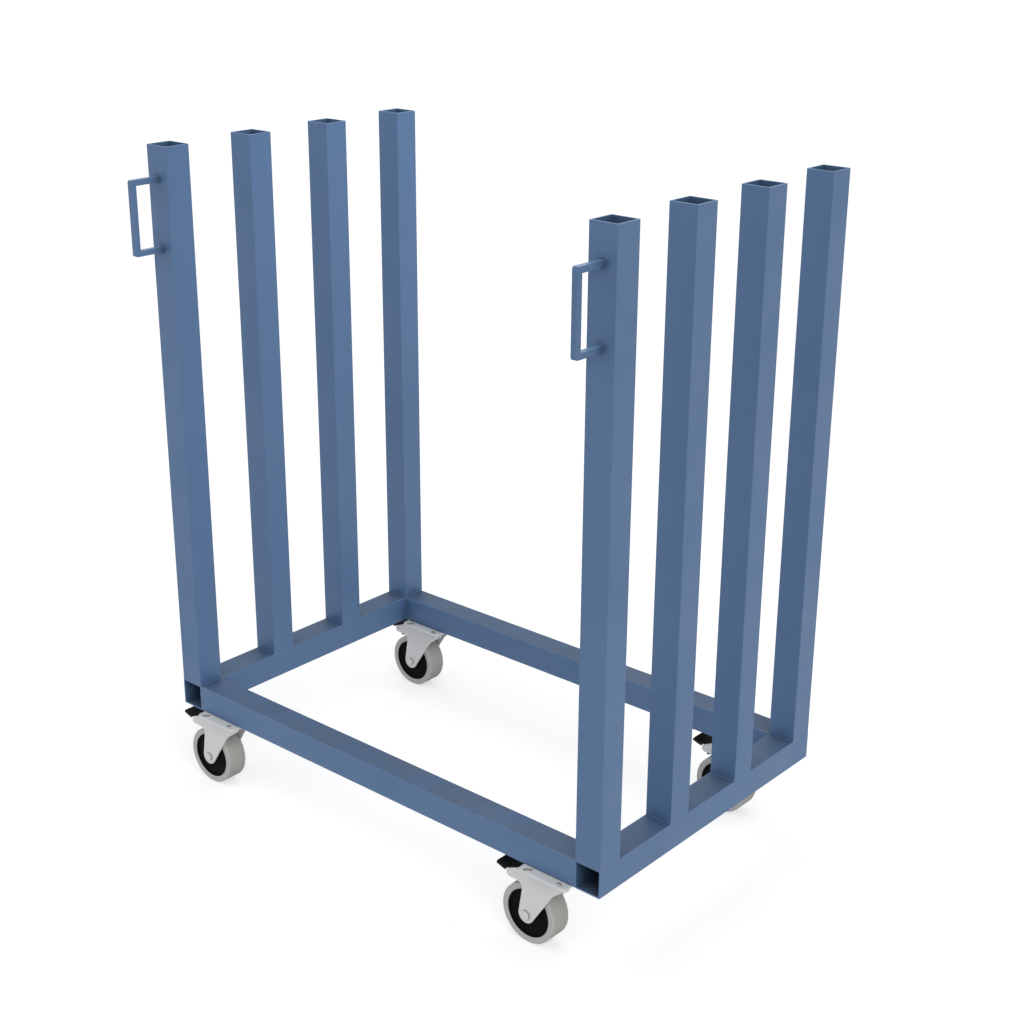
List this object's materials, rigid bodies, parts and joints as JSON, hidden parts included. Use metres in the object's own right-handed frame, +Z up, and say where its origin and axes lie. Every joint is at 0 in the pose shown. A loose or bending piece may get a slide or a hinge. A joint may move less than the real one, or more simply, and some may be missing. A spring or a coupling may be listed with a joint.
{
  "type": "sheet goods cart",
  "caption": "Rolling cart for sheet goods: welded square-tube base, rows of open-topped uprights that form bays, U handles at the front, swivel casters with foot brakes.",
  "frame": {"origin": "on the floor, under the middle of the outline seen from above", "axes": "+X along the length of the base, to the right when facing the handles; +Y from the handles to the back; +Z up"},
  "size_m": [1.2, 0.812, 1.438],
  "materials": {
    "frame_blue": "blue powder coat, satin",
    "caster_zinc": "pale zinc plate",
    "tyre_grey": "matt grey rubber, non-marking",
    "core_black": "black moulded plastic",
    "pedal_black": "black paint"
  },
  "bodies": {
    "frame": {"side_rail_left": "frame_blue", "side_rail_right": "frame_blue", "front_rail": "frame_blue", "rear_rail": "frame_blue", "upright_left_1": "frame_blue", "upright_left_2": "frame_blue", "upright_left_3": "frame_blue", "upright_left_4": "frame_blue", "upright_right_1": "frame_blue", "upright_right_2": "frame_blue", "upright_right_3": "frame_blue", "upright_right_4": "frame_blue", "handle_left": "frame_blue", "handle_right": "frame_blue", "caster_front_left_top_plate": "caster_zinc", "caster_front_left_kingpin": "caster_zinc", "caster_front_right_top_plate": "caster_zinc", "caster_front_right_kingpin": "caster_zinc", "caster_rear_left_top_plate": "caster_zinc", "caster_rear_left_kingpin": "caster_zinc", "caster_rear_right_top_plate": "caster_zinc", "caster_rear_right_kingpin": "caster_zinc"},
    "swivel_front_left": {"caster_front_left_fork": "caster_zinc", "caster_front_left_ball_race": "caster_zinc", "caster_front_left_axle_sleeve": "caster_zinc", "caster_front_left_axle_bolt": "caster_zinc", "caster_front_left_axle_nut": "caster_zinc", "caster_front_left_pedal_pin": "caster_zinc"},
    "wheel_front_left": {"caster_front_left_tyre": "tyre_grey", "caster_front_left_wheel_core": "core_black"},
    "pedal_front_left": {"caster_front_left_brake_pedal": "pedal_black"},
    "swivel_front_right": {"caster_front_right_fork": "caster_zinc", "caster_front_right_ball_race": "caster_zinc", "caster_front_right_axle_sleeve": "caster_zinc", "caster_front_right_axle_bolt": "caster_zinc", "caster_front_right_axle_nut": "caster_zinc", "caster_front_right_pedal_pin": "caster_zinc"},
    "wheel_front_right": {"caster_front_right_tyre": "tyre_grey", "caster_front_right_wheel_core": "core_black"},
    "pedal_front_right": {"caster_front_right_brake_pedal": "pedal_black"},
    "swivel_rear_left": {"caster_rear_left_fork": "caster_zinc", "caster_rear_left_ball_race": "caster_zinc", "caster_rear_left_axle_sleeve": "caster_zinc", "caster_rear_left_axle_bolt": "caster_zinc", "caster_rear_left_axle_nut": "caster_zinc", "caster_rear_left_pedal_pin": "caster_zinc"},
    "wheel_rear_left": {"caster_rear_left_tyre": "tyre_grey", "caster_rear_left_wheel_core": "core_black"},
    "pedal_rear_left": {"caster_rear_left_brake_pedal": "pedal_black"},
    "swivel_rear_right": {"caster_rear_right_fork": "caster_zinc", "caster_rear_right_ball_race": "caster_zinc", "caster_rear_right_axle_sleeve": "caster_zinc", "caster_rear_right_axle_bolt": "caster_zinc", "caster_rear_right_axle_nut": "caster_zinc", "caster_rear_right_pedal_pin": "caster_zinc"},
    "wheel_rear_right": {"caster_rear_right_tyre": "tyre_grey", "caster_rear_right_wheel_core": "core_black"},
    "pedal_rear_right": {"caster_rear_right_brake_pedal": "pedal_black"}
  },
  "joints": [
    {"name": "front_left_swivel", "type": "hinge", "parent": "frame", "child": "swivel_front_left", "pos_m": [-0.474, -0.305, 0.178], "axis": [0, 0, 1], "continuous": true},
    {"name": "front_left_roll", "type": "hinge", "parent": "swivel_front_left", "child": "wheel_front_left", "pos_m": [-0.527, -0.305, 0.06475], "axis": [0, 1, 0], "continuous": true},
    {"name": "front_left_brake", "type": "hinge", "parent": "swivel_front_left", "child": "pedal_front_left", "pos_m": [-0.569, -0.305, 0.1425], "axis": [0, -1, 0], "range_deg": [0, 17]},
    {"name": "front_right_swivel", "type": "hinge", "parent": "frame", "child": "swivel_front_right", "pos_m": [0.474, -0.305, 0.178], "axis": [0, 0, 1], "continuous": true},
    {"name": "front_right_roll", "type": "hinge", "parent": "swivel_front_right", "child": "wheel_front_right", "pos_m": [0.421, -0.305, 0.06475], "axis": [0, 1, 0], "continuous": true},
    {"name": "front_right_brake", "type": "hinge", "parent": "swivel_front_right", "child": "pedal_front_right", "pos_m": [0.379, -0.305, 0.1425], "axis": [0, -1, 0], "range_deg": [0, 17]},
    {"name": "rear_left_swivel", "type": "hinge", "parent": "frame", "child": "swivel_rear_left", "pos_m": [-0.474, 0.355, 0.178], "axis": [0, 0, 1], "continuous": true},
    {"name": "rear_left_roll", "type": "hinge", "parent": "swivel_rear_left", "child": "wheel_rear_left", "pos_m": [-0.527, 0.355, 0.06475], "axis": [0, 1, 0], "continuous": true},
    {"name": "rear_left_brake", "type": "hinge", "parent": "swivel_rear_left", "child": "pedal_rear_left", "pos_m": [-0.569, 0.355, 0.1425], "axis": [0, -1, 0], "range_deg": [0, 17]},
    {"name": "rear_right_swivel", "type": "hinge", "parent": "frame", "child": "swivel_rear_right", "pos_m": [0.474, 0.355, 0.178], "axis": [0, 0, 1], "continuous": true},
    {"name": "rear_right_roll", "type": "hinge", "parent": "swivel_rear_right", "child": "wheel_rear_right", "pos_m": [0.421, 0.355, 0.06475], "axis": [0, 1, 0], "continuous": true},
    {"name": "rear_right_brake", "type": "hinge", "parent": "swivel_rear_right", "child": "pedal_rear_right", "pos_m": [0.379, 0.355, 0.1425], "axis": [0, -1, 0], "range_deg": [0, 17]}
  ]
}
